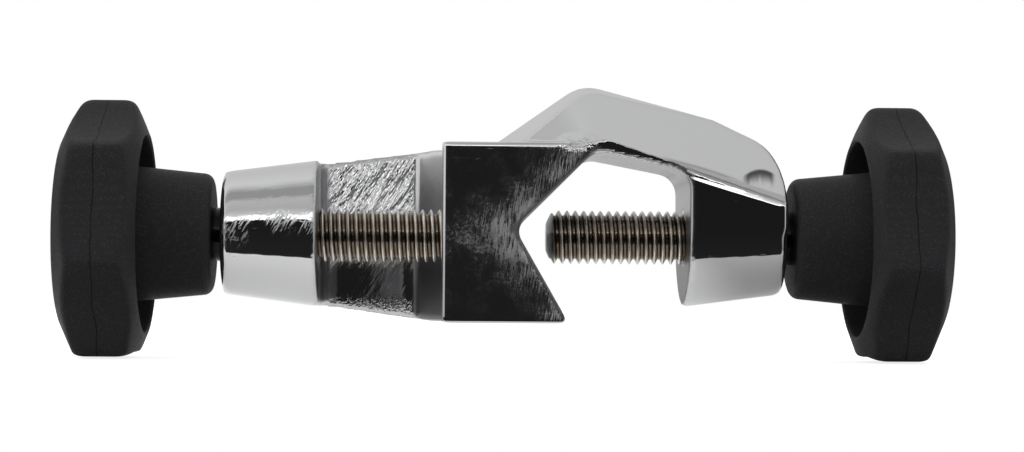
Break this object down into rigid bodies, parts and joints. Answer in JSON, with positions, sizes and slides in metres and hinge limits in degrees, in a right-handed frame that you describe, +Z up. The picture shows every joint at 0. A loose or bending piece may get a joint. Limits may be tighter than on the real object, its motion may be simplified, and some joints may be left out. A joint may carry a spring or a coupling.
{
  "type": "boss head clamp",
  "caption": "Chrome-plated cast clamp with V jaws at right angles, for holding a cross rod on an upright stand rod; each jaw is closed by a threaded stud with a black lobed hand knob.",
  "frame": {"origin": "on the axis of a stand rod held in the stand jaw, level with the axis of both screws", "axes": "+Z up along the stand rod, +Y along the cross rod and away from the side that is seen, +X along the screws from the stand jaw to the cross jaw"},
  "size_m": [0.1302, 0.0419, 0.0408],
  "materials": {
    "plated_casting": "polished chrome plate over a die casting",
    "screw_steel": "bright turned steel",
    "knob_plastic": "fine moulded grain"
  },
  "bodies": {
    "casting": {"casting": "plated_casting"},
    "stand_screw": {"stand_screw": "screw_steel"},
    "stand_knob": {"stand_knob": "knob_plastic"},
    "cross_screw": {"cross_screw": "screw_steel"},
    "cross_knob": {"cross_knob": "knob_plastic"}
  },
  "joints": [
    {"name": "stand_screw_travel", "type": "slide", "parent": "casting", "child": "stand_screw", "axis": [-1, 0, 0], "range_m": [-0.00063, 0.0201]},
    {"name": "stand_knob_turn", "type": "hinge", "parent": "stand_screw", "child": "stand_knob", "pos_m": [0, 0, 0], "axis": [-1, 0, 0], "range_deg": [-180, 5760]},
    {"name": "cross_screw_travel", "type": "slide", "parent": "casting", "child": "cross_screw", "axis": [1, 0, 0], "range_m": [-0.00063, 0.0201]},
    {"name": "cross_knob_turn", "type": "hinge", "parent": "cross_screw", "child": "cross_knob", "pos_m": [0, 0, 0], "axis": [1, 0, 0], "range_deg": [-180, 5760]}
  ],
  "couplings": [
    {"joint": "stand_screw_travel", "follows": "stand_knob_turn", "m_per_rad": 0.00019894},
    {"joint": "cross_screw_travel", "follows": "cross_knob_turn", "m_per_rad": 0.00019894}
  ]
}
